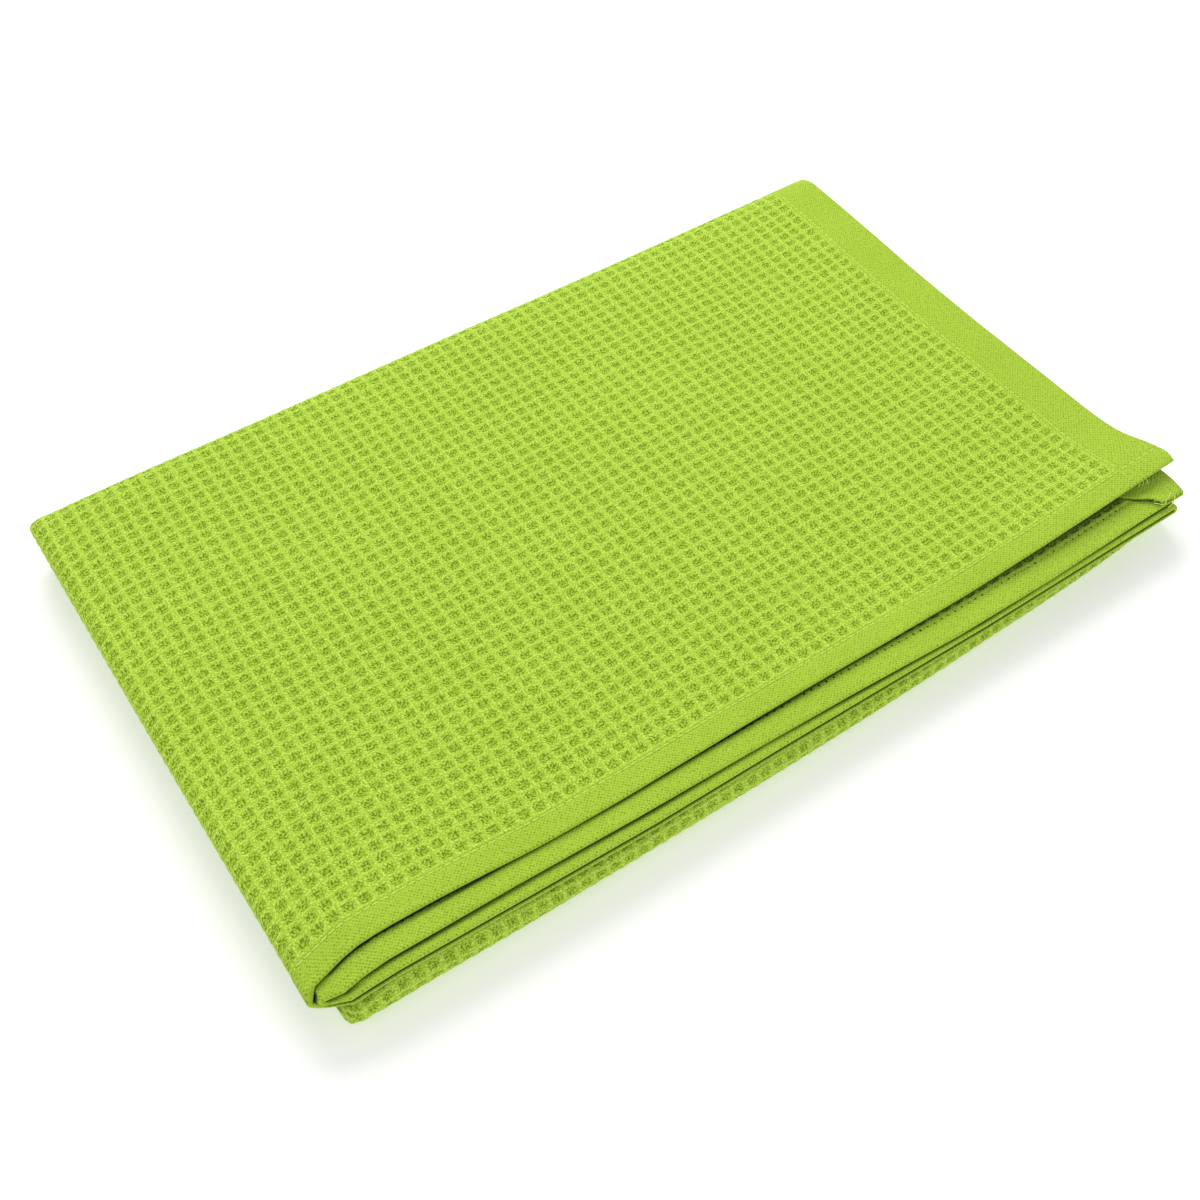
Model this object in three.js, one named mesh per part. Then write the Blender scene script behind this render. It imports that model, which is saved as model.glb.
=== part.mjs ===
// A waffle bath towel, folded into a flat pad and lying on a table.
//
// The towel is one sheet of cloth. It is folded twice along its length, which stacks four
// layers, and that stack is then folded in three across its width, like a letter. The last
// flap lies on top, with its hemmed edges at the front, one a little in front of the other.
//
// Millimetres, +Z up. X runs along the long side of the pad, from the folded end on the left
// to the hemmed end on the right. Y runs from the open front to the folded back. The origin
// is at the centre of the pad's base.

import * as THREE from 'three';

// The folded pad, seen from above
const padLength = 382; // the top layer, from the folded end to its end hem
const padDepth = 251.5; // from the front line to the folded back

// The towel itself, laid flat
const flatWidth = 715; // between the two side hems, the last of it hidden in the middle flap

// The cloth and its layers
const clothThickness = 1.9;
const layerSpacing = 2.25; // from the middle of one layer to the middle of the next
const layerLevels = { top: 1.5, second: 0.5, third: -0.5, inner: -1.5 }; // in layer spacings
const stackHalf = layerLevels.top * layerSpacing + clothThickness / 2;
const flapGap = 0.4; // between the middle flap and the top flap
const baseGap = 1; // between the bottom panel and the middle flap

// Where the layers turn at the ends of the pad
const secondInset = 0.6; // the second layer's fold stands this far inside the top layer's
const rightFoldInset = 6; // the fold of the two lower layers, inside the end hem
const secondEndInset = 5; // the second layer's end hem, inside the top one

// The radius of each fold across the width, at the middle of its four layers
const frontRadius = stackHalf + baseGap / 2;
const backRadius = frontRadius + stackHalf + flapGap / 2;

// Heights of the middle of the four layers in each of the three panels
const bottomLevel = stackHalf;
const topLevel = bottomLevel + 2 * backRadius;

// How far each front edge stands out past the front line at the left end, in the middle and
// at the right end. The top layer's edge lies inside that line. The front fold is the rounded
// front of the lower panels. At the folded end's corner the edges are tucked towards the top
// layer's edge.
const frontEdges = [
  { level: layerLevels.top, left: -7, middle: -5, right: -11 },
  { level: layerLevels.second, left: 2.3, middle: 3.9, right: 0.5 },
  { level: layerLevels.third, left: 5, middle: 6.8, right: 3 },
  { level: layerLevels.inner, left: 5.5, middle: 7.3, right: 3.5 },
];
const frontFold = { left: 7, middle: 7, right: -1 };
const cornerTuck = { share: 0.4, reach: 12 };

// How the pad has settled
const lowerInset = { atBack: 2.5, atFront: 10 }; // the lower panels' folded end, inside the top one
const stackInset = { atBack: 0.5, atFront: 3 }; // the top flap's inner layer, at the same end
const endLine = { back: 5, middle: 1, front: 1 }; // how the top layer's end hem bows
const rightHeight = 0.82; // the height at the hemmed end, as a share of the folded end's
const swell = { height: 0.012, across: 150 }; // slow rises and hollows in the top
const cornerDroop = { share: 0.14, reach: 34 }; // the front corner at the folded end
const frontLift = { height: 4.5, along: 170, across: 42 }; // the loose front of the top layer
const cornerEar = { top: 4.5, second: 6, reach: 26 }; // the end hems' front corners, pulled out

// How finely the cloth is divided: the number of steps in each fold, and the places along
// each flat run, as shares of it, close together where the hems lift
const steps = { leftFold: 8, tightFold: 5, backFold: 8, frontFold: 7 };
const lengthPlaces = [0, 0.03, 0.07, 0.14, 0.24, 0.36, 0.5, 0.64, 0.78, 0.9, 1];
const topFlapPlaces = [0, 0.035, 0.075, 0.14, 0.25, 0.42, 0.6, 0.8, 1];
const panelPlaces = [0, 0.2, 0.4, 0.6, 0.8, 1];

const leftEnd = 0;
const rightEnd = padLength;
const frontLine = 0;
const backCentre = padDepth - backRadius - stackHalf;
const outerTurn = leftEnd + stackHalf;
const innerTurn = outerTurn + secondInset;
const rightTurn = rightEnd - rightFoldInset;

function smooth(low, high, value) {
  const t = Math.min(1, Math.max(0, (value - low) / (high - low)));
  return t * t * (3 - 2 * t);
}

// A value that is given at the left end, in the middle and at the right end of the pad
function alongPad(row, x) {
  const s = Math.min(1, Math.max(0, x / padLength));
  const bend = row.middle - (row.left + row.right) / 2;
  return row.left + (row.right - row.left) * s + 4 * bend * s * (1 - s);
}

function frontEdgeAt(level, x) {
  const lowest = frontEdges.length - 1;
  const below = frontEdges.findIndex((row, k) => k === lowest || (k > 0 && row.level <= level));
  const upper = frontEdges[below - 1];
  const lower = frontEdges[below];
  const share = Math.min(1, Math.max(0, (upper.level - level) / (upper.level - lower.level)));
  const low = alongPad(upper, x);
  const high = alongPad(lower, x);
  const highest = alongPad(frontEdges[0], x);
  const tuck = cornerTuck.share * (1 - smooth(0, cornerTuck.reach, x - leftEnd));
  return highest + (low + (high - low) * share - highest) * (1 - tuck);
}

// A station on a section: where it is, and which way the section runs there. Lower is 0 on
// the top flap and 1 on the panels under it, and passes from one to the other in the back fold.
function straight(from, to, height, places) {
  const way = Math.sign(to - from);
  return places.map((place) => ({ at: from + (to - from) * place, height, along: way, up: 0 }));
}

function turn(centre, height, radius, startAngle, sweep, count) {
  const way = Math.sign(sweep);
  return Array.from({ length: count - 1 }, (unused, k) => {
    const angle = startAngle + sweep * (k + 1) / count;
    return {
      at: centre + radius * Math.cos(angle),
      height: height + radius * Math.sin(angle),
      along: -way * Math.sin(angle),
      up: way * Math.cos(angle),
    };
  });
}

// The section along the towel: top layer, inner layer, third layer, second layer
function lengthSection() {
  const { top, second, third, inner } = layerLevels;
  const spacing = layerSpacing;
  const toLeft = lengthPlaces;
  const toRight = lengthPlaces.map((place) => 1 - place).reverse();
  return [
    ...straight(rightEnd, outerTurn, top * spacing, toLeft),
    ...turn(outerTurn, 0, top * spacing, Math.PI / 2, Math.PI, steps.leftFold),
    ...straight(outerTurn, rightTurn, inner * spacing, toRight),
    ...turn(rightTurn, -spacing, spacing / 2, -Math.PI / 2, Math.PI, steps.tightFold),
    ...straight(rightTurn, innerTurn, third * spacing, toLeft),
    ...turn(innerTurn, 0, spacing / 2, -Math.PI / 2, -Math.PI, steps.tightFold),
    ...straight(innerTurn, rightEnd - secondEndInset, second * spacing, toRight),
  ];
}

// The section across the towel at one place along it: top flap, bottom panel, middle flap.
// Every layer has the same flat width, so an outer layer ends earlier in the middle flap.
function widthSection(x, level) {
  const offset = level * layerSpacing;
  const frontEdge = frontLine - frontEdgeAt(level, x);
  const frontCentre = frontLine - alongPad(frontFold, x) + frontRadius + stackHalf;
  const middleLevel = bottomLevel + 2 * frontRadius;
  const turns = Math.PI * (backRadius + frontRadius + 2 * offset);
  const panels = (backCentre - frontEdge) + (backCentre - frontCentre);
  const hiddenEdge = frontCentre + flatWidth - turns - panels;
  const backHeight = bottomLevel + backRadius;
  const frontHeight = bottomLevel + frontRadius;
  const stations = [
    ...straight(frontEdge, backCentre, topLevel, topFlapPlaces),
    ...turn(backCentre, backHeight, backRadius, Math.PI / 2, -Math.PI, steps.backFold),
    ...straight(backCentre, frontCentre, bottomLevel, panelPlaces),
    ...turn(frontCentre, frontHeight, frontRadius, -Math.PI / 2, -Math.PI, steps.frontFold),
    ...straight(frontCentre, hiddenEdge, middleLevel, panelPlaces),
  ];
  const foldStart = topFlapPlaces.length - 1;
  return stations.map((station, k) => (
    { ...station, lower: smooth(foldStart, foldStart + steps.backFold, k) }));
}

// Lets the folded pad settle: each step keeps the layers in their order
function settle(x, y, z, level, lower) {
  const along = Math.min(1, Math.max(0, x / padLength));
  const inDepth = Math.min(1, Math.max(0, y / padDepth));
  const onTop = smooth(layerLevels.top - 0.5, layerLevels.top, level) * (1 - lower);

  const nearFront = (1 - inDepth) ** 3;
  const insetHere = (inset) => inset.atBack + (inset.atFront - inset.atBack) * nearFront;
  const layersDown = (layerLevels.top - level) / (layerLevels.top - layerLevels.inner);
  const inward = (1 - lower) * layersDown * insetHere(stackInset) + lower * insetHere(lowerInset);
  const bow = inDepth < 0.5
    ? endLine.front + (endLine.middle - endLine.front) * smooth(0, 0.5, inDepth)
    : endLine.middle + (endLine.back - endLine.middle) * smooth(0.5, 1, inDepth);
  const hem = frontLine - frontEdgeAt(layerLevels.top, x);
  const cornerReach = Math.hypot(rightEnd - x, y - hem);
  const nearCorner = 1 - smooth(0, cornerEar.reach, cornerReach);
  const onSecond = smooth(layerLevels.third, layerLevels.second, level) * (1 - lower) - onTop;
  const ear = nearCorner * (cornerEar.top * onTop + cornerEar.second * onSecond);
  const newX = x + inward * (1 - along) + ear + bow * smooth(0.5, 1, along) * onTop;

  const waves = Math.sin(x / swell.across * 2 * Math.PI) * Math.cos(y / swell.across * Math.PI);
  const droopReach = Math.hypot(x - leftEnd, y - frontLine);
  const droop = cornerDroop.share * (1 - smooth(0, cornerDroop.reach, droopReach));
  const height = 1 + (rightHeight - 1) * smooth(0, 1, along) + swell.height * waves - droop;
  const loose = smooth(rightEnd - frontLift.along, rightEnd, x)
    * (1 - smooth(0, frontLift.across, y - hem));
  return [newX, y, z * height + frontLift.height * loose * onTop];
}

// The closed sheet: a face side, a back side, and the four edges that join them
function towelGeometry() {
  const sectionAlong = lengthSection();
  const half = clothThickness / 2;
  const points = [];
  let across = 0;
  for (const side of [half, -half]) {
    for (const station of sectionAlong) {
      const level = station.height / layerSpacing;
      const x = station.at + side * station.up;
      const offset = station.height - side * station.along;
      const sectionAcross = widthSection(station.at, level);
      across = sectionAcross.length;
      for (const s of sectionAcross) {
        const y = s.at - offset * s.up;
        const z = s.height + offset * s.along;
        points.push(...settle(x, y, z, level, s.lower));
      }
    }
  }
  const along = sectionAlong.length;
  const backSide = along * across;
  const index = (i, j) => i * across + j;
  const faces = [];
  const quad = (a, b, c, d) => faces.push(a, b, c, a, c, d);
  for (let i = 0; i < along - 1; i += 1) {
    for (let j = 0; j < across - 1; j += 1) {
      const [a, b, c, d] = [index(i, j), index(i, j + 1), index(i + 1, j + 1), index(i + 1, j)];
      quad(a, b, c, d);
      quad(a + backSide, d + backSide, c + backSide, b + backSide);
    }
  }
  for (let i = 0; i < along - 1; i += 1) {
    const [a, b] = [index(i, 0), index(i + 1, 0)];
    quad(a, b, b + backSide, a + backSide);
    const [c, d] = [index(i, across - 1), index(i + 1, across - 1)];
    quad(c, c + backSide, d + backSide, d);
  }
  for (let j = 0; j < across - 1; j += 1) {
    const [a, b] = [index(0, j), index(0, j + 1)];
    quad(a, a + backSide, b + backSide, b);
    const [c, d] = [index(along - 1, j), index(along - 1, j + 1)];
    quad(c, d, d + backSide, c + backSide);
  }
  const geometry = new THREE.BufferGeometry();
  geometry.setAttribute('position', new THREE.Float32BufferAttribute(points, 3));
  geometry.setIndex(faces);

  // The base's centre becomes the origin
  geometry.computeBoundingBox();
  const { min, max } = geometry.boundingBox;
  geometry.translate(-(min.x + max.x) / 2, -(min.y + max.y) / 2, -min.z);
  geometry.computeVertexNormals();
  return geometry;
}

const limeCotton = new THREE.MeshStandardMaterial({
  name: 'lime waffle cotton',
  color: new THREE.Color(0.42, 0.62, 0.045),
  roughness: 0.92,
  metalness: 0,
});

const towel = new THREE.Mesh(towelGeometry(), limeCotton);
towel.name = 'towel';

const part = new THREE.Group();
part.add(towel);

export default part;
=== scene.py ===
# A waffle bath towel, folded into a pad: the cloth, its stitching, the turned corner of a hem
# and a few loose threads. Sizes are in millimetres, and become metres where a mesh is made.

import bpy
import bmesh
import math
from mathutils import Matrix, Vector, noise


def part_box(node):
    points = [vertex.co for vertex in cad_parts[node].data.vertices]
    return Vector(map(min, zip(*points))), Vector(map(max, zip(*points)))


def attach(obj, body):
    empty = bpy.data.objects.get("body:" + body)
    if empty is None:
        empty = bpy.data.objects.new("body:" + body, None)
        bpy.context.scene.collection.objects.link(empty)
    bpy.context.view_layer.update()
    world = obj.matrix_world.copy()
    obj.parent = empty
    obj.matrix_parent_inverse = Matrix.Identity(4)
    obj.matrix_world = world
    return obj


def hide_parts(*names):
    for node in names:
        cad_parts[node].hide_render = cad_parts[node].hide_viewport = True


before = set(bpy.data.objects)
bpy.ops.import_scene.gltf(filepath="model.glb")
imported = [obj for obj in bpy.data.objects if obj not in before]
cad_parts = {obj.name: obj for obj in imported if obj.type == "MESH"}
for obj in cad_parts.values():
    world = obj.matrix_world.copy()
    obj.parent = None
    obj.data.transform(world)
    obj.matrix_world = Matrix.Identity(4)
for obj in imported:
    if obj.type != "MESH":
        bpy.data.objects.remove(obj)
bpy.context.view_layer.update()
boxLow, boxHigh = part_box("towel")
mm = 0.001
# Vector noise starts from the clock unless it is given a seed
noise.seed_set(5)
print("frame loaded")

# How the towel is folded. X runs from the folded end to the hemmed end, Y from the open
# front to the folded back, and levels count layer spacings from the middle of four layers.
pad = {
    "length": 382,
    "depth": 251.5,
    "flatWidth": 715,
    "thickness": 1.9,
    "spacing": 2.25,
    "levels": {"top": 1.5, "second": 0.5, "third": -0.5, "inner": -1.5},
    "flapGap": 0.4,
    "baseGap": 1,
    "secondInset": 0.6,
    "rightFoldInset": 7.3,
    "secondEndInset": 5,
    "frontFold": (7, 8, 7, 4, -1),
    "tuckShare": 0.4,
    "tuckReach": 12,
    "cornerForward": 3.8,
    "cornerReach": 24,
    "cornerLayers": 2,
    "leftGap": 0.25,
}
half = pad["thickness"] / 2
topLevel = pad["levels"]["top"]
stackHalf = topLevel * pad["spacing"] + half
frontRadius = stackHalf + pad["baseGap"] / 2
backRadius = frontRadius + stackHalf + pad["flapGap"] / 2
bottomHeight = stackHalf
topHeight = bottomHeight + 2 * backRadius
backCentre = pad["depth"] - backRadius - stackHalf

# How far the front edge of each layer, from the top one down, stands out past the front
# line, at even steps along the pad
frontEdges = [
    (-7.0, -7.2, -5.2, -5.5, -6.2, -6.8, -7.2, -8.4, -11),
    (1.8, 1.6, 2.1, 2.9, 2.9, 3.6, 4.3, 2.4, 0.5),
    (5.0, 6.1, 6.6, 6.9, 6.1, 5.7, 5.3, 4.2, 3.0),
    (5.5, 6.6, 7.2, 7.4, 6.6, 6.2, 5.8, 4.7, 3.5),
]

# How the pad has settled. Insets are at the back and at the front, and the end line is at
# the front, the middle and the back.
settled = {
    "lowerInset": (2.5, 10),
    "stackInset": (0.5, 3),
    "endLine": (1, 1, 5),
    # The pad is lower at the right and at its left front corner
    "rightHeight": 0.82,
    "swellHeight": 0.012,
    "swellAcross": 150,
    "droopShare": 0.14,
    "droopReach": 34,
    # The top layer's front edge rises at the right and gapes a little in the middle
    "liftHeight": 4.5,
    "liftAlong": 170,
    "liftAcross": 42,
    "gapHeight": 0.8,
    "gapPlace": 215,
    "gapAlong": 90,
    "gapAcross": 14,
    # Its right front corner and the one under it stand out
    "earTop": 4.5,
    "earSecond": 6,
    "earReach": (4, 29),
    "earRound": (1.2, 4),
    # The top is a little uneven, and the rows of cells wander
    "softness": 0.3,
    "softnessAcross": 24,
    "softInset": 20,
    "softFade": (150, 230),
    "drift": 0.7,
    "driftAcross": 40,
    "driftInset": 30,
}

# The weave: square-sided cells, and plain hems round the cloth
weave = {
    "pitchAlong": 5.93,
    "pitchAcross": 5.21,
    "endHem": 19.6,
    "sideHem": 10.4,
    "endStitch": 18.1,
    "sideStitch": 9.1,
    "stitchDip": 0.35,
    "ridgeHalf": 0.09,
    "floorHalf": 0.2,
    "depth": 1.05,
    "depthSpread": 0.3,
    "saddle": 0.16,
    "roundness": 0.95,
    "rimShare": 0.28,
    "dipReach": 0.6,
}


def smooth(low, high, value):
    t = min(1, max(0, (value - low) / (high - low)))
    return t * t * (3 - 2 * t)


def alongPad(row, x):
    # A smooth line through values given at even steps along the pad
    last = len(row) - 1
    place = last * min(1, max(0, x / pad["length"]))
    k = min(last - 1, int(place))
    t = place - k
    start, end = row[k], row[k + 1]
    before = row[k - 1] if k > 0 else 2 * start - end
    after = row[k + 2] if k + 2 <= last else 2 * end - start
    bend = 2 * before - 5 * start + 4 * end - after
    twist = 3 * (start - end) + after - before
    return start + t * (end - before + t * (bend + t * twist)) / 2


def frontEdgeAt(level, x):
    # How far a layer's front edge stands out past the front line. At the left the layers
    # draw together, and the upper ones come forward.
    place = min(len(frontEdges) - 1, max(0, topLevel - level))
    above = min(len(frontEdges) - 2, int(place))
    low = alongPad(frontEdges[above], x)
    high = alongPad(frontEdges[above + 1], x)
    highest = alongPad(frontEdges[0], x)
    forward = pad["cornerForward"] * (1 - smooth(0, pad["cornerReach"], x))
    tuck = pad["tuckShare"] * (1 - smooth(0, pad["tuckReach"], x))
    edge = highest + (low + (high - low) * (place - above) - highest) * (1 - tuck)
    return edge + forward * max(0, 1 - place / pad["cornerLayers"])


# A section is a list of straight runs and round turns, and is followed by distance
def straightRun(start, end, height):
    return {"length": abs(end - start), "start": start, "height": height,
            "way": math.copysign(1, end - start)}


def roundTurn(centre, height, radius, startAngle, sweep, length=None):
    return {"length": length or radius * abs(sweep), "centre": centre, "height": height,
            "radius": radius, "angle": startAngle, "sweep": sweep}


def follow(section, distance):
    # The place at a distance along a section, its height, and the way the section runs there
    for part in section:
        if distance <= part["length"] or part is section[-1]:
            break
        distance -= part["length"]
    if "way" in part:
        return part["start"] + part["way"] * distance, part["height"], part["way"], 0
    angle = part["angle"] + part["sweep"] * distance / part["length"]
    way = math.copysign(1, part["sweep"])
    at = part["centre"] + part["radius"] * math.cos(angle)
    height = part["height"] + part["radius"] * math.sin(angle)
    return at, height, -way * math.sin(angle), way * math.cos(angle)


def lengthSection():
    # The four layers, from the top layer's end hem to the second layer's
    levels = {name: level * pad["spacing"] for name, level in pad["levels"].items()}
    tight = pad["spacing"] / 2
    outerTurn = stackHalf
    innerTurn = outerTurn + pad["secondInset"]
    rightTurn = pad["length"] - pad["rightFoldInset"]
    secondEnd = pad["length"] - pad["secondEndInset"]
    return [
        straightRun(pad["length"], outerTurn, levels["top"]),
        roundTurn(outerTurn, 0, levels["top"], math.pi / 2, math.pi),
        straightRun(outerTurn, rightTurn, levels["inner"]),
        roundTurn(rightTurn, -pad["spacing"], tight, -math.pi / 2, math.pi),
        straightRun(rightTurn, innerTurn, levels["third"]),
        roundTurn(innerTurn, 0, tight, -math.pi / 2, -math.pi),
        straightRun(innerTurn, secondEnd, levels["second"]),
    ]


def widthSection(x, level):
    # The top flap, the back fold, the bottom panel, the front fold and the middle flap
    offset = level * pad["spacing"]
    frontEdge = -frontEdgeAt(level, x)
    frontCentre = -alongPad(pad["frontFold"], x) + frontRadius + stackHalf
    middleHeight = bottomHeight + 2 * frontRadius
    return [
        straightRun(frontEdge, backCentre, topHeight),
        roundTurn(backCentre, bottomHeight + backRadius, backRadius, math.pi / 2, -math.pi,
                  math.pi * (backRadius + offset)),
        straightRun(backCentre, frontCentre, bottomHeight),
        roundTurn(frontCentre, bottomHeight + frontRadius, frontRadius, -math.pi / 2,
                  -math.pi, math.pi * (frontRadius + offset)),
        straightRun(frontCentre, pad["depth"], middleHeight),
    ]


def settledX(x, y, level, lower, onTop):
    # Where a place comes to lie along the pad: inset layers, bowed end line, corners out
    along = min(1, max(0, x / pad["length"]))
    inDepth = min(1, max(0, y / pad["depth"]))
    nearFront = (1 - inDepth) ** 3
    stackBack, stackFront = settled["stackInset"]
    lowBack, lowFront = settled["lowerInset"]
    layersDown = (topLevel - level) / (2 * topLevel)
    inward = (1 - lower) * layersDown * (stackBack + (stackFront - stackBack) * nearFront)
    inward += lower * (lowBack + (lowFront - lowBack) * nearFront)
    front, middle, back = settled["endLine"]
    if inDepth < 0.5:
        bow = front + (middle - front) * smooth(0, 0.5, inDepth)
    else:
        bow = middle + (back - middle) * smooth(0.5, 1, inDepth)
    fromCorner = math.hypot(pad["length"] - x, y + frontEdgeAt(topLevel, x))
    nearCorner = 1 - smooth(*settled["earReach"], fromCorner)
    cut, cutReach = settled["earRound"]
    levels = pad["levels"]
    onSecond = smooth(levels["third"], levels["second"], level) * (1 - lower) - onTop
    ear = nearCorner * (settled["earTop"] * onTop + settled["earSecond"] * onSecond)
    ear -= cut * (1 - smooth(0, cutReach, fromCorner)) * onTop
    return x + inward * (1 - along) + ear + bow * smooth(0.5, 1, along) * onTop


def settledZ(x, y, z, onTop):
    # How high a place comes to lie: a low swell and droop, and the raised front edge
    along = min(1, max(0, x / pad["length"]))
    fromHem = y + frontEdgeAt(topLevel, x)
    across = settled["swellAcross"]
    waves = math.sin(x / across * 2 * math.pi) * math.cos(y / across * math.pi)
    droop = settled["droopShare"] * (1 - smooth(0, settled["droopReach"], math.hypot(x, y)))
    height = 1 + (settled["rightHeight"] - 1) * smooth(0, 1, along)
    height += settled["swellHeight"] * waves - droop
    loose = smooth(pad["length"] - settled["liftAlong"], pad["length"], x)
    loose *= 1 - smooth(0, settled["liftAcross"], fromHem)
    gap = 1 - smooth(0, settled["gapAlong"], abs(x - settled["gapPlace"]))
    gap *= 1 - smooth(0, settled["gapAcross"], fromHem)
    lift = settled["liftHeight"] * loose + settled["gapHeight"] * gap
    return z * height + lift * onTop


def foldCloth(u, v, w, column=None):
    # A place on the flat cloth, w above its middle, to its place on the folded pad in metres
    at, level, across, along, up = column or columnAt(u)
    x = at + w * up
    offset = level * pad["spacing"] - w * along
    y0, height, acrossWay, acrossUp = follow(across, v)
    foldStart = across[0]["length"]
    lower = smooth(foldStart, foldStart + across[1]["length"], v)
    y = y0 - offset * acrossUp
    z = height + offset * acrossWay
    onTop = smooth(topLevel - 0.5, topLevel, level) * (1 - lower)
    newX = settledX(x, y, level, lower, onTop)
    newZ = settledZ(x, y, z, onTop)
    return Vector((newX * mm, y * mm, newZ * mm)) + padOrigin


def columnAt(u):
    # What all the places at one distance along the flat cloth share
    at, height, along, up = follow(clothLength, u)
    level = height / pad["spacing"]
    return at, level, widthSection(at, level), along, up


clothLength = lengthSection()
flatLength = sum(part["length"] for part in clothLength)
flatWidth = pad["flatWidth"]
padOrigin = Vector((boxLow.x - pad["leftGap"] * mm, boxHigh.y - pad["depth"] * mm, 0))

# Points of the flat cloth nearer than this are at the same step
touching = 1e-4

# Where the cloth is divided, counted along it from the end hem and across it from the side
# hem: four steps to a cell where cells show, and wide steps where layers are hidden, with a
# few narrow ones beside the folds at the left. The back of the cloth has one step to a cell,
# and two in the back fold, which starts at a cell of its own.
detail = {
    "endSteps": [0, 0.15, 0.45, 0.95, 3, 6, 10, 14, 17, 17.7, 18.1, 18.5, 19.0],
    "sideSteps": [0, 0.15, 0.45, 0.95, 2.6, 4.6, 6.6, 8.5, 9.1, 9.7],
    "cellsAlong": 62,
    "topCells": 51,
    "backFoldCell": 44,
    "cellSteps": 4,
    "frontCells": (96, 102),
    "hiddenAlong": 48,
    "nearFold": (7, 15, 24),
    "hiddenAcross": 19,
    "foldSteps": 6,
    "secondEnd": [19, 17, 14, 10, 6, 3, 0.95, 0.45, 0.15, 0],
    "hiddenEnd": [9, 3, 0.95, 0.3, 0],
}


def cellSteps(first, last, pitch, start):
    # The edges of each ridge and of each floor, from ridge number first to last
    steps = []
    ridge = weave["ridgeHalf"]
    floor = 0.5 - weave["floorHalf"]
    for cell in range(first, last):
        for share in (ridge, floor, 1 - floor, 1 - ridge):
            steps.append(start + (cell + share) * pitch)
    return steps


def evenSteps(start, end, spacing):
    count = max(2, round((end - start) / spacing))
    return [start + (end - start) * k / count for k in range(1, count)]


def stepsAlong():
    steps = list(detail["endSteps"])
    steps += cellSteps(0, detail["cellsAlong"], weave["pitchAlong"], weave["endHem"])
    distance = 0
    for number, part in enumerate(clothLength):
        # The cells take up the first run and the outer fold
        end = distance + part["length"]
        if number > 1 and "way" in part:
            start = max(distance, steps[-1])
            stop = end if part is not clothLength[-1] else flatLength - detail["secondEnd"][0]
            near = detail["nearFold"]
            steps += [distance] if distance > steps[-1] else []
            first = [start + step for step in near] if part["way"] > 0 else []
            last = [stop - step for step in near[::-1]] if part["way"] < 0 else []
            steps += first
            steps += evenSteps(([start] + first)[-1], (last + [stop])[0], detail["hiddenAlong"])
            steps += last + [stop]
        elif number > 1:
            steps += [distance + part["length"] * k / detail["foldSteps"]
                      for k in range(1, detail["foldSteps"])]
        distance = end
    steps += [flatLength - step for step in detail["secondEnd"][1:]]
    return steps


def stepsAcross():
    first, last = detail["frontCells"]
    pitch = weave["pitchAcross"]
    steps = list(detail["sideSteps"])
    steps += cellSteps(0, detail["topCells"], pitch, weave["sideHem"])
    front = cellSteps(first, last, pitch, weave["sideHem"])
    steps += evenSteps(steps[-1], front[0], detail["hiddenAcross"])
    steps += front
    steps += evenSteps(front[-1], flatWidth - detail["hiddenEnd"][0], detail["hiddenAcross"])
    steps += [flatWidth - step for step in detail["hiddenEnd"]]
    return steps


def cellPlace(u, v):
    # Counts cells from the corner where the hems meet
    cellU = (u - weave["endHem"]) / weave["pitchAlong"]
    cellV = (v - weave["sideHem"]) / weave["pitchAcross"]
    return cellU, cellV


def inModelledCells(u, v):
    cellU, cellV = cellPlace(u, v)
    first, last = detail["frontCells"]
    onTop = 0 < cellV < detail["topCells"]
    return 0 < cellU < detail["cellsAlong"] and (onTop or first < cellV < last)


def cellRelief(u, v):
    # How far a point of the face lies under the ridges: 0 on them, 1 on a cell's floor
    if not inModelledCells(u, v):
        return 0
    middle = []
    fall = []
    for cell in cellPlace(u, v):
        middle.append(math.floor(cell) + 0.5)
        away = 0.5 - abs(cell - middle[-1])
        fall.append(smooth(weave["ridgeHalf"], 0.5 - weave["floorHalf"], away))
    draw = noise.cell(Vector((*middle, 0.5)))
    deep = fall[0] * fall[1] * (1 + weave["depthSpread"] * draw)
    return deep * (1 - weave["saddle"]) + weave["saddle"] * max(fall)


def edgeRound(u, v):
    # Thins the cloth to a round edge
    away = min(u, v, flatLength - u, flatWidth - v)
    t = min(1, max(0, away / weave["roundness"]))
    return max(weave["rimShare"], math.sqrt(1 - (1 - t) ** 2))


def stitchDip(u, v):
    # The seams pull the cloth in. The end hem's seam stops at the side hem's.
    away = abs(v - weave["sideStitch"])
    if v > weave["sideStitch"]:
        away = min(away, abs(u - weave["endStitch"]))
    return weave["stitchDip"] * (1 - smooth(0, weave["dipReach"], away))


def flatGrid(bm, alongSteps, acrossSteps, side):
    # One side of the flat cloth as a grid, each point at its step along and across
    columns = len(alongSteps) - 1
    rows = len(acrossSteps) - 1
    made = bmesh.ops.create_grid(bm, x_segments=columns, y_segments=rows, size=0.5)
    for vert in made["verts"]:
        i = round((vert.co.x + 0.5) * columns)
        j = round((vert.co.y + 0.5) * rows)
        vert.co = (alongSteps[i], acrossSteps[j], side)


def joinRim(bm, rimPlaces):
    # Closes the edge between the fine face side and the coarser back side
    for axis, value in rimPlaces:
        line = [v for v in bm.verts if abs(v.co[axis] - value) < touching]
        other = 1 - axis
        face = sorted((v for v in line if v.co.z > 0), key=lambda v: v.co[other])
        back = sorted((v for v in line if v.co.z < 0), key=lambda v: v.co[other])
        place = 0
        for low, high in zip(back, back[1:]):
            start = place
            while face[place].co[other] < high.co[other] - touching:
                place += 1
            bm.faces.new([low, high] + face[start:place + 1][::-1])


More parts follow.
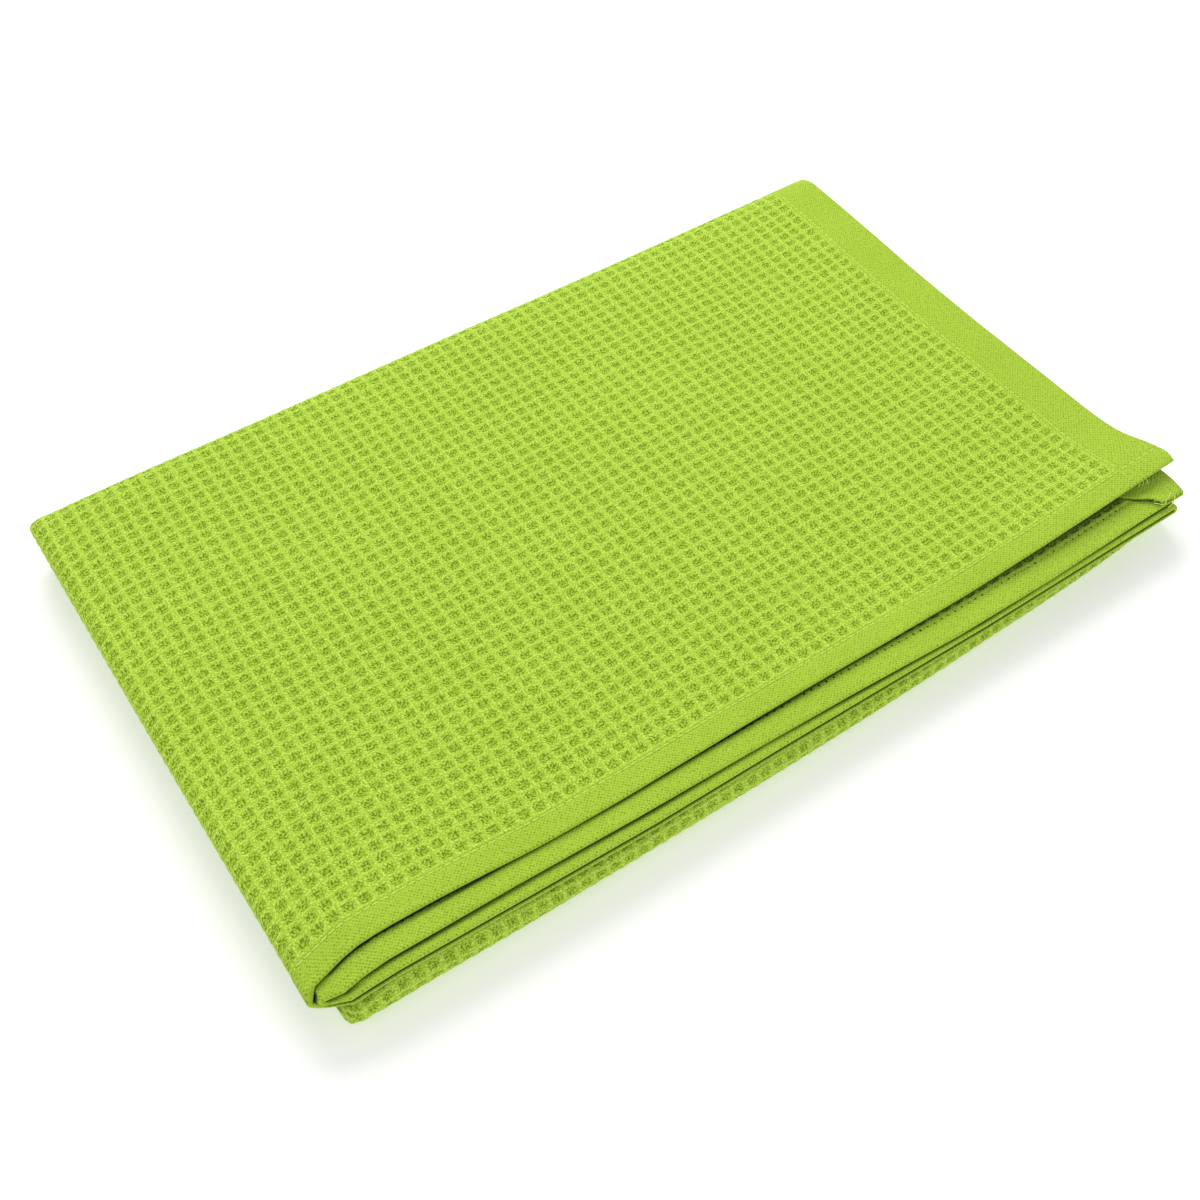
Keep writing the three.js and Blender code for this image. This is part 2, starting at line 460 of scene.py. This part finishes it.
def drifted(u, v):
    # Lets the rows of cells wander a little inside the hems
    inside = min(u, v, flatLength - u, flatWidth - v)
    reach = settled["drift"] * smooth(0, settled["driftInset"], inside)
    place = Vector((u, v, 0)) / settled["driftAcross"]
    away = noise.noise_vector(place)
    return u + reach * away.x, v + reach * away.y


def softRise(u, v):
    # The top layer isn't quite flat
    top = 1 - smooth(-settled["softInset"], 0, u - clothLength[0]["length"])
    top *= 1 - smooth(*settled["softFade"], v)
    place = Vector((u, v, 7)) / settled["softnessAcross"]
    return settled["softness"] * top * noise.noise(place)


# How the shade on covered cloth fades: in from an end hem, from a side hem and from the edge
# of the layer above, along the outer fold, and round the front fold and the turns at the left
cover = {
    "end": (0.3, 2.5),
    "side": (0.2, 2),
    "edge": (-1, 0.7),
    "outerFold": 5,
    "frontFold": (0.55, 0.95),
    "frontFoldShade": 0.45,
    "turn": (0, 0.5),
    "flat": 0.01,
}


def shadeAt(u, v, side, column):
    # 1 where a layer lies under another one, out of the light, and 0 in the open
    at, level, across, along, up = column
    fromEnd = smooth(*cover["end"], min(u, flatLength - u))
    fromSide = smooth(*cover["side"], v)
    if v > across[0]["length"]:
        beforeFold = sum(part["length"] for part in across[:3])
        share = (v - beforeFold) / across[3]["length"]
        shade = cover["frontFoldShade"] * smooth(*cover["frontFold"], share)
        return shade * (1 - smooth(*cover["turn"], abs(up))) if side > 0 else fromEnd
    if abs(up) > cover["flat"]:
        return 0 if side > 0 else fromSide
    if side * along > 0:
        return fromSide * fromEnd * smooth(stackHalf, stackHalf + cover["outerFold"], at)
    if level > topLevel - 0.5:
        return 0
    inside = v - frontEdgeAt(level, at) + frontEdgeAt(level + 1, at)
    return smooth(*cover["edge"], inside)


def thinned(steps, keep):
    return [step for k, step in enumerate(steps) if keep(k) or step == steps[-1]]


def backSteps(along, across):
    # The steps that the back of the cloth keeps
    perCell = detail["cellSteps"]
    ends = len(detail["endSteps"])
    cells = ends + perCell * detail["cellsAlong"]
    sides = len(detail["sideSteps"])
    topRows = sides + perCell * detail["topCells"]
    backFold = sides + perCell * detail["backFoldCell"]

    def keepAlong(k):
        return k < ends or k >= cells or (k - ends) % perCell == 0

    def keepAcross(k):
        every = perCell if k < backFold else perCell // 2
        return k < sides or k >= topRows or (k - sides) % every == 0

    return thinned(along, keepAlong), thinned(across, keepAcross)


def flatCloth():
    # Both sides of the flat cloth, joined at the rim, with its cells counted in the UV map
    along = stepsAlong()
    across = stepsAcross()
    bm = bmesh.new()
    flatGrid(bm, along, across, 1)
    flatGrid(bm, *backSteps(along, across), -1)
    joinRim(bm, [(0, 0), (0, flatLength), (1, 0), (1, flatWidth)])
    bmesh.ops.recalc_face_normals(bm, faces=bm.faces)
    bmesh.ops.triangulate(bm, faces=[f for f in bm.faces if len(f.verts) > 4])
    uv = bm.loops.layers.uv.new("cloth")
    for face in bm.faces:
        for loop in face.loops:
            loop[uv].uv = cellPlace(loop.vert.co.x, loop.vert.co.y)
        face.smooth = True
    return bm


def clothMesh():
    bm = flatCloth()
    modelled = bm.verts.layers.float.new("modelled")
    wrongSide = bm.verts.layers.float.new("wrongSide")
    shade = bm.verts.layers.float.new("shade")
    columns = {}
    for vert in bm.verts:
        u, v, side = vert.co
        if u not in columns:
            columns[u] = columnAt(u)
        deep = cellRelief(u, v) if side > 0 else 0
        thick = half * edgeRound(u, v) - weave["depth"] * deep - stitchDip(u, v)
        vert[modelled] = 1 if side > 0 and inModelledCells(u, v) else 0
        vert[wrongSide] = 0 if side > 0 else 1
        vert[shade] = shadeAt(u, v, side, columns[u])
        vert.co = foldCloth(*drifted(u, v), side * thick + softRise(u, v), columns[u])
    # Folding turns the flat cloth's left and right about
    bmesh.ops.reverse_faces(bm, faces=bm.faces)
    return meshFrom(bm, "towelCloth")


def meshFrom(bm, name):
    mesh = bpy.data.meshes.new(name)
    bm.to_mesh(mesh)
    bm.free()
    return mesh


def newPiece(name, mesh):
    piece = bpy.data.objects.new(name, mesh)
    bpy.context.scene.collection.objects.link(piece)
    return piece


cloth = newPiece("towelCloth", clothMesh())
triangles = sum(len(p.vertices) - 2 for p in cloth.data.polygons)
print("cloth folded:", len(cloth.data.vertices), "points,", triangles, "triangles,",
      "flat length", round(flatLength, 1))


# Shader sums are written as ordinary expressions on wires
class Wire:
    def __init__(self, finish, socket):
        self.finish = finish
        self.socket = socket

    def maths(self, operation, *values):
        inputs = dict(enumerate(values))
        return self.finish.add("ShaderNodeMath", {"operation": operation}, inputs)

    def __add__(self, other):
        return self.maths("ADD", self, other)

    def __sub__(self, other):
        return self.maths("SUBTRACT", self, other)

    def __mul__(self, other):
        return self.maths("MULTIPLY", self, other)

    def __truediv__(self, other):
        return self.maths("DIVIDE", self, other)

    def __radd__(self, other):
        return self.maths("ADD", other, self)

    def __rsub__(self, other):
        return self.maths("SUBTRACT", other, self)

    def __rmul__(self, other):
        return self.maths("MULTIPLY", other, self)

    def wave(self):
        return self.maths("SINE", self)

    def size(self):
        return self.maths("ABSOLUTE", self)

    def part(self):
        return self.maths("FRACT", self)

    def between(self, low, high):
        inputs = {"Value": self, "From Min": low, "From Max": high}
        return self.finish.add("ShaderNodeMapRange", {"interpolation_type": "SMOOTHSTEP"}, inputs)


class Finish:
    def __init__(self, name):
        self.material = bpy.data.materials.new(name)
        self.material.use_nodes = True
        self.tree = self.material.node_tree
        self.tree.nodes.clear()

    def add(self, kind, settings=None, inputs=None, output=0):
        node = self.tree.nodes.new(kind)
        for name, value in (settings or {}).items():
            setattr(node, name, value)
        for name, value in (inputs or {}).items():
            if isinstance(value, Wire):
                self.tree.links.new(value.socket, node.inputs[name])
            else:
                node.inputs[name].default_value = value
        return Wire(self, node.outputs[output])

    def pointValue(self, name):
        # The third socket of an Attribute node is its number
        return self.add("ShaderNodeAttribute", {"attribute_name": name}, {}, 2)

    def mix(self, share, first, second):
        # The colour sockets of a Mix node are its seventh and eighth
        settings = {"data_type": "RGBA"}
        return self.add("ShaderNodeMix", settings, {0: share, 6: first, 7: second}, 2)

    def surface(self, shader):
        end = self.tree.nodes.new("ShaderNodeOutputMaterial")
        self.tree.links.new(shader.socket, end.inputs["Surface"])
        return self.material


# The stitching that holds the hems
stitching = {
    "pitch": 3.3,
    "length": 3.25,
    "radius": 0.3,
    "sideLift": 0.25,
    "endLift": 0,
    "inset": 2,
    "endReach": 262,
}

# Lime cotton: lighter on the ridges and deeper in the cells as painted shade, with its threads as
# specks, painted shade between the hem's threads, and painted glints and highlights on the threads
cottonLook = {
    "ridge": (0.50, 0.72, 0.062, 1),
    # The floor colour is painted shade in the cells
    "floor": (0.35, 0.54, 0.03, 1),
    # Dark specks of the yarn, and painted shade: more specks in the cells and dark gaps between
    # the hem's threads
    "speckAndShadeColour": (0.10, 0.20, 0.003, 1),
    # Painted glints on the fibres and painted highlights on the hem's raised threads
    "glintColour": (0.72, 0.93, 0.17, 1),
    "shade": (0.012, 0.03, 0.0005, 1),
    "threadsAlong": 4,
    "threadsAcross": 3.5,
    "raggedness": 0.35,
    "pitEdge": (0.004, 0.085),
    "hemEdge": (-0.05, 0.05),
    # How painted shade in the cells, the patches, the yarn and the hems darken the colour
    "shadeAndToneRange": (-0.25, 1),
    "speckRange": (0.47, 0.6),
    # Where painted glints show, painted shade between the hem's threads, and painted highlights on
    # its raised threads
    "glintRange": (0.52, 0.62),
    "gapRange": (0.55, 0.95),
    "overRange": (0.6, 1),
    "height": 0.001,
    "threadHeight": 0.2,
    "cellHeight": 1.0,
    "cellsAcross": (flatWidth - 2 * weave["sideHem"]) / weave["pitchAcross"],
    "cellsAlong": (flatLength - 2 * weave["endHem"]) / weave["pitchAlong"],
    "stitchPitch": stitching["pitch"] / weave["pitchAlong"],
    "holeLine": (weave["sideStitch"] - weave["sideHem"]) / weave["pitchAcross"],
    "holeWidth": (0.04, 0.11),
    "holeLength": (0.06, 0.18),
    "roughness": 0.95,
    "sheen": 0.04,
}


# Noise in the cotton, in cells: single fibres, the unevenness of the yarn, and large patches
cottonNoise = {
    "fine": {"Scale": 8, "Detail": 1, "Roughness": 0.4},
    "yarn": {"Scale": 4, "Detail": 2, "Roughness": 0.6},
    "patches": {"Scale": 0.12, "Detail": 2, "Roughness": 0.5},
}


def cottonFinish():
    look = cottonLook
    finish = Finish("limeCotton")
    uv = finish.add("ShaderNodeUVMap", {"uv_map": "cloth"})
    u = finish.add("ShaderNodeSeparateXYZ", {}, {"Vector": uv}, 0)
    v = finish.add("ShaderNodeSeparateXYZ", {}, {"Vector": uv}, 1)
    modelled = finish.pointValue("modelled")
    wrongSide = finish.pointValue("wrongSide")
    shade = finish.pointValue("shade")
    fine, yarn, patches = [finish.add("ShaderNodeTexNoise", {}, {"Vector": uv, **noiseInputs})
                           for noiseInputs in cottonNoise.values()]
    speck = (1 - fine).between(*look["speckRange"])

    # The cells, inside the plain hems
    edge = look["hemEdge"]
    inHems = u.between(*edge) * (look["cellsAlong"] - u).between(*edge)
    inHems = inHems * v.between(*edge) * (look["cellsAcross"] - v).between(*edge)
    hem = 1 - inHems
    # Threads going over and under each other
    turn = 2 * math.pi
    over = (u * (turn * look["threadsAlong"])).wave()
    under = (v * (turn * look["threadsAcross"])).wave()
    threads = over * under * 0.5 + 0.5

    # Each cell is a round-cornered hollow with ragged sides
    ragged = (yarn - 0.5) * look["raggedness"]
    acrossU = (u + ragged).part() - 0.5
    acrossV = (v + ragged).part() - 0.5
    cubes = acrossU.size() * acrossU * acrossU + acrossV.size() * acrossV * acrossV
    pit = (1 - cubes.between(*look["pitEdge"])) * inHems * (1 - 0.3 * shade)

    grain = threads * (1 - inHems * 0.6) + fine * 1.2 + yarn * 0.5
    height = grain * look["threadHeight"] - pit * (1 - modelled) * look["cellHeight"]
    bump = finish.add("ShaderNodeBump", {}, {"Height": height, "Strength": 1,
                                             "Distance": look["height"]})

    # The colour darkens with the cells' depth as painted shade and varies with patches, yarn and
    # hems, then takes dark specks, painted shade in the gaps between the hem's threads and more
    # dark specks in the cells, and painted glints and highlights on the threads
    depth = pit * 0.7 + (patches - 0.5) * 0.5 + (yarn - 0.5) * 1.1 + hem * 0.28
    colour = finish.mix(depth.between(*look["shadeAndToneRange"]), look["ridge"], look["floor"])
    # Painted shade in the gaps between the hem's threads, and dark yarn specks with more of them
    # in the cells as painted shade
    threadGapShade = (1 - threads).between(*look["gapRange"]) * hem * (0.06 + 0.36 * speck)
    dark = speck * (0.3 + 0.5 * pit) * inHems + speck * hem * 0.24 + threadGapShade
    colour = finish.mix(dark, colour, look["speckAndShadeColour"])
    # Painted glints on the fibres, weaker in the cells, and painted highlights on the hem's raised
    # threads
    glintsAndHighlights = fine.between(*look["glintRange"]) * (0.7 - 0.35 * pit) * inHems
    glintsAndHighlights = glintsAndHighlights + threads.between(*look["overRange"]) * hem * 0.3
    colour = finish.mix(glintsAndHighlights, colour, look["glintColour"])

    # The needle holes show on the wrong side, along the side hem's stitching
    nearLine = 1 - (v - look["holeLine"]).size().between(*look["holeWidth"])
    fromHole = ((u / look["stitchPitch"]).part() - 0.5).size()
    nearHole = 1 - fromHole.between(*look["holeLength"])
    holes = nearLine * nearHole * wrongSide * (yarn - 0.1).between(0.25, 0.5)
    colour = finish.mix((shade + holes).between(0, 1), colour, look["shade"])

    shader = finish.add("ShaderNodeBsdfPrincipled", {}, {
        "Base Color": colour, "Roughness": look["roughness"], "Normal": bump,
        "Sheen Weight": look["sheen"], "Sheen Roughness": 0.5, "Specular IOR Level": 0.15})
    return finish.surface(shader)


threadLook = {
    "light": (0.74, 0.92, 0.2, 1),
    "dark": (0.58, 0.79, 0.1, 1),
    "roughness": 0.8,
    "fibreScale": 2500,
    "fibreHeight": 0.0001,
}


def threadFinish():
    finish = Finish("limeThread")
    place = finish.add("ShaderNodeTexCoord", {}, {}, 3)
    fibres = finish.add("ShaderNodeTexNoise", {}, {"Vector": place, "Detail": 2,
                                                   "Scale": threadLook["fibreScale"]})
    bump = finish.add("ShaderNodeBump", {}, {"Height": fibres, "Strength": 0.5,
                                             "Distance": threadLook["fibreHeight"]})
    colour = finish.mix(fibres, threadLook["light"], threadLook["dark"])
    shader = finish.add("ShaderNodeBsdfPrincipled", {}, {
        "Base Color": colour, "Roughness": threadLook["roughness"], "Normal": bump,
        "Specular IOR Level": 0.3})
    return finish.surface(shader)


cotton = cottonFinish()
thread = threadFinish()
cloth.data.materials.append(cotton)
print("finishes made")


def addStitch(bm, start, end):
    made = bmesh.ops.create_uvsphere(bm, u_segments=6, v_segments=4, radius=1)
    turn = (end - start).to_track_quat("Z", "Y").to_matrix().to_4x4()
    radius = stitching["radius"] * mm
    size = Matrix.Diagonal((radius, radius, (end - start).length / 2, 1))
    place = Matrix.Translation((start + end) / 2) @ turn @ size
    bmesh.ops.transform(bm, matrix=place, verts=made["verts"])


def stitchLine(name, places, lift):
    bm = bmesh.new()
    lift += half - weave["stitchDip"]
    for start, end in places:
        addStitch(bm, foldCloth(*start, lift), foldCloth(*end, lift))
    for face in bm.faces:
        face.smooth = True
    piece = newPiece(name, meshFrom(bm, name))
    piece.data.materials.append(thread)
    return piece


def stitchPlaces(first, last, line, alongCloth):
    # The two ends of each stitch on the flat cloth
    places = []
    count = int((last - first) / stitching["pitch"])
    for k in range(count):
        start = first + k * stitching["pitch"]
        ends = [(step, line) for step in (start, start + stitching["length"])]
        places.append(ends if alongCloth else [end[::-1] for end in ends])
    return places


sideEnd = clothLength[0]["length"] + clothLength[1]["length"] / 2
sidePlaces = stitchPlaces(stitching["inset"], sideEnd, weave["sideStitch"], True)
endStart = weave["sideStitch"] + stitching["inset"]
endPlaces = stitchPlaces(endStart, stitching["endReach"], weave["endStitch"], False)
sideStitches = stitchLine("sideStitches", sidePlaces, stitching["sideLift"])
endStitches = stitchLine("endStitches", endPlaces, stitching["endLift"])
print("hems stitched")


# The second layer's end hem is turned over its side hem at the corner, and stands up there.
# Sizes run from the end hem's edge, and across from the side hem's edge.
turnedHem = {
    "reachFront": 10,
    "reachBack": 18.5,
    "slant": 14,
    "ragged": 0.5,
    "width": 30,
    "edge": 0.3,
    "endInset": 0.2,
    "thickness": 1.2,
    "rise": 0.3,
    "curl": 1.9,
    "curlReach": 6,
    "curlAcross": (2, 16),
    "steps": (14, 18),
}


def turnedHemMesh():
    bm = bmesh.new()
    stepsIn, stepsOver = turnedHem["steps"]
    made = bmesh.ops.create_grid(bm, x_segments=stepsIn, y_segments=stepsOver, size=0.5)
    uv = bm.loops.layers.uv.new("cloth")
    flat = {}
    for vert in made["verts"]:
        v = turnedHem["edge"] + (vert.co.y + 0.5) * turnedHem["width"]
        reachBack, reachFront = turnedHem["reachBack"], turnedHem["reachFront"]
        reach = reachFront + (reachBack - reachFront) * smooth(0, turnedHem["slant"], v)
        edge = reach + turnedHem["ragged"] * noise.noise(Vector((v / 3, 2, 5)))
        fromEnd = turnedHem["endInset"] + (vert.co.x + 0.5) * edge
        curl = turnedHem["curl"] * smooth(reach - turnedHem["curlReach"], reach, fromEnd)
        curl *= 1 - smooth(*turnedHem["curlAcross"], v)
        w = half + turnedHem["rise"] + turnedHem["thickness"] / 2 + curl
        # Its place in the UV map is outside the cells, so it has the weave of a hem
        flat[vert] = (-fromEnd / weave["pitchAlong"], v / weave["pitchAcross"] - 4)
        vert.co = foldCloth(flatLength - fromEnd, v, -w)
    for face in bm.faces:
        for loop in face.loops:
            loop[uv].uv = flat[loop.vert]
    geometry = bm.faces[:] + bm.edges[:] + bm.verts[:]
    bmesh.ops.solidify(bm, geom=geometry, thickness=turnedHem["thickness"] * mm)
    bmesh.ops.recalc_face_normals(bm, faces=bm.faces)
    bm.normal_update()
    shade = bm.verts.layers.float.new("shade")
    for vert in bm.verts:
        vert[shade] = 1 if vert.normal.z < 0 else 0
    for face in bm.faces:
        face.smooth = True
    return meshFrom(bm, "turnedHemCorner")


turnedCorner = newPiece("turnedHemCorner", turnedHemMesh())
turnedCorner.data.materials.append(cotton)

# Thread ends at the corner: a loop over the second layer's edge, and a few frayed ends of
# the top layer's. Each point is from the end, across and out from the middle of the cloth.
looseThreads = {
    "radius": 0.17,
    "loop": [(11.5, 3.4, 2.5), (10.4, 1.8, 3.1), (9, 0.6, 3.7), (7.6, 0.5, 4.1), (6.3, 1.4, 4.1),
             (5.4, 2.3, 3.7), (4.8, 1.4, 3.3), (4.9, -0.1, 3), (5.7, -1.2, 2.2),
             (6.9, -1.6, 1.2), (8.1, -1.3, 0.3)],
    "tail": [(12, 2.6, 2.4), (11, 0.9, 2.9), (10.4, -0.3, 3.1), (9.2, -0.6, 3.5), (8.4, 0.3, 3.9)],
    "frayed": [[(16, 0.6, -0.8), (16.3, -0.4, -1.3), (16.7, -0.7, -2.3), (16.4, -0.3, -3.4)],
               [(15, 0.5, -0.9), (14.6, -0.5, -1.2), (14.9, -1, -1.9), (15.3, -0.9, -2.7)],
               [(17.4, 0.5, -0.8), (17.9, -0.4, -1), (18.6, -0.6, -1.6)]],
}


def threadPiece(name, routes):
    # Each route becomes a smooth tube, and all of them one mesh
    curve = bpy.data.curves.new(name, "CURVE")
    curve.dimensions = "3D"
    curve.bevel_depth = looseThreads["radius"] * mm
    curve.bevel_resolution = 1
    curve.resolution_u = 4
    curve.use_fill_caps = True
    for route in routes:
        spline = curve.splines.new("NURBS")
        spline.points.add(len(route) - 1)
        spline.order_u = 3
        spline.use_endpoint_u = True
        for point, place in zip(spline.points, route):
            point.co = (*place, 1)
    shaped = bpy.data.objects.new(name, curve)
    mesh = bpy.data.meshes.new_from_object(shaped)
    bpy.data.objects.remove(shaped)
    piece = newPiece(name, mesh)
    piece.data.materials.clear()
    piece.data.materials.append(thread)
    return piece


def onSecond(point):
    fromEnd, v, w = point
    return foldCloth(flatLength - fromEnd, v, -w)


loops = [[onSecond(p) for p in looseThreads[name]] for name in ("loop", "tail")]
loops += [[foldCloth(*p) for p in route] for route in looseThreads["frayed"]]
threadEnds = threadPiece("looseThreads", loops)
print("corner finished")

# Floor, soft light and camera
studio = {
    "floor": 40,
    "floorColour": (0.84, 0.84, 0.84, 1),
    "floorGlow": 0.33,
    "floorGrain": 300,
    "sky": 0.58,
    "keyPlace": (0.35, 1.05, 1.3),
    "keySize": 1.1,
    "keyPower": 18,
    "fillPlace": (-0.5, -1.2, 1.2),
    "fillSize": 1.4,
    "fillPower": 4,
    "cameraPlace": (-219.9, -367.8, 486.3),
    "cameraAim": (-27.2, -36.1, 20),
    "cameraRoll": -3.92,
    "lens": 48.23,
    "sensor": 36,
}


def paleFloor():
    bm = bmesh.new()
    bmesh.ops.create_grid(bm, x_segments=1, y_segments=1, size=studio["floor"] / 2)
    floor = newPiece("floor", meshFrom(bm, "floor"))
    finish = Finish("palePaper")
    place = finish.add("ShaderNodeTexCoord", {}, {}, 3)
    grain = finish.add("ShaderNodeTexNoise", {}, {"Vector": place, "Scale": studio["floorGrain"]})
    bump = finish.add("ShaderNodeBump", {}, {"Height": grain, "Strength": 0.05})
    shader = finish.add("ShaderNodeBsdfPrincipled", {}, {
        "Base Color": studio["floorColour"], "Roughness": 0.9, "Normal": bump,
        "Emission Color": (1, 1, 1, 1), "Emission Strength": studio["floorGlow"]})
    floor.data.materials.append(finish.surface(shader))


def areaLight(name, place, size, power):
    lamp = bpy.data.lights.new(name, "AREA")
    lamp.size = size
    lamp.energy = power
    light = newPiece(name, lamp)
    light.location = place
    light.rotation_euler = Vector(place).to_track_quat("Z", "Y").to_euler()


def paleSky():
    world = bpy.data.worlds.new("sky")
    world.use_nodes = True
    background = world.node_tree.nodes["Background"]
    background.inputs["Color"].default_value = (1, 1, 1, 1)
    background.inputs["Strength"].default_value = studio["sky"]
    bpy.context.scene.world = world


def photoCamera():
    data = bpy.data.cameras.new("camera")
    data.lens = studio["lens"]
    data.sensor_width = studio["sensor"]
    data.clip_start = 0.01
    camera = newPiece("camera", data)
    place = Vector(studio["cameraPlace"]) * mm
    aim = Vector(studio["cameraAim"]) * mm
    turn = (place - aim).to_track_quat("Z", "Y").to_matrix().to_4x4()
    roll = Matrix.Rotation(math.radians(studio["cameraRoll"]), 4, "Z")
    camera.matrix_world = Matrix.Translation(place) @ turn @ roll
    bpy.context.scene.camera = camera


paleFloor()
paleSky()
areaLight("keyLight", studio["keyPlace"], studio["keySize"], studio["keyPower"])
areaLight("fillLight", studio["fillPlace"], studio["fillSize"], studio["fillPower"])
photoCamera()
bpy.context.scene.view_settings.view_transform = "Standard"
print("stage set")

sewnOn = [sideStitches, endStitches, turnedCorner, threadEnds]
for piece in [cloth] + sewnOn:
    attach(piece, "root")
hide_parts("towel")
flatLength * mm

print("pieces declared")
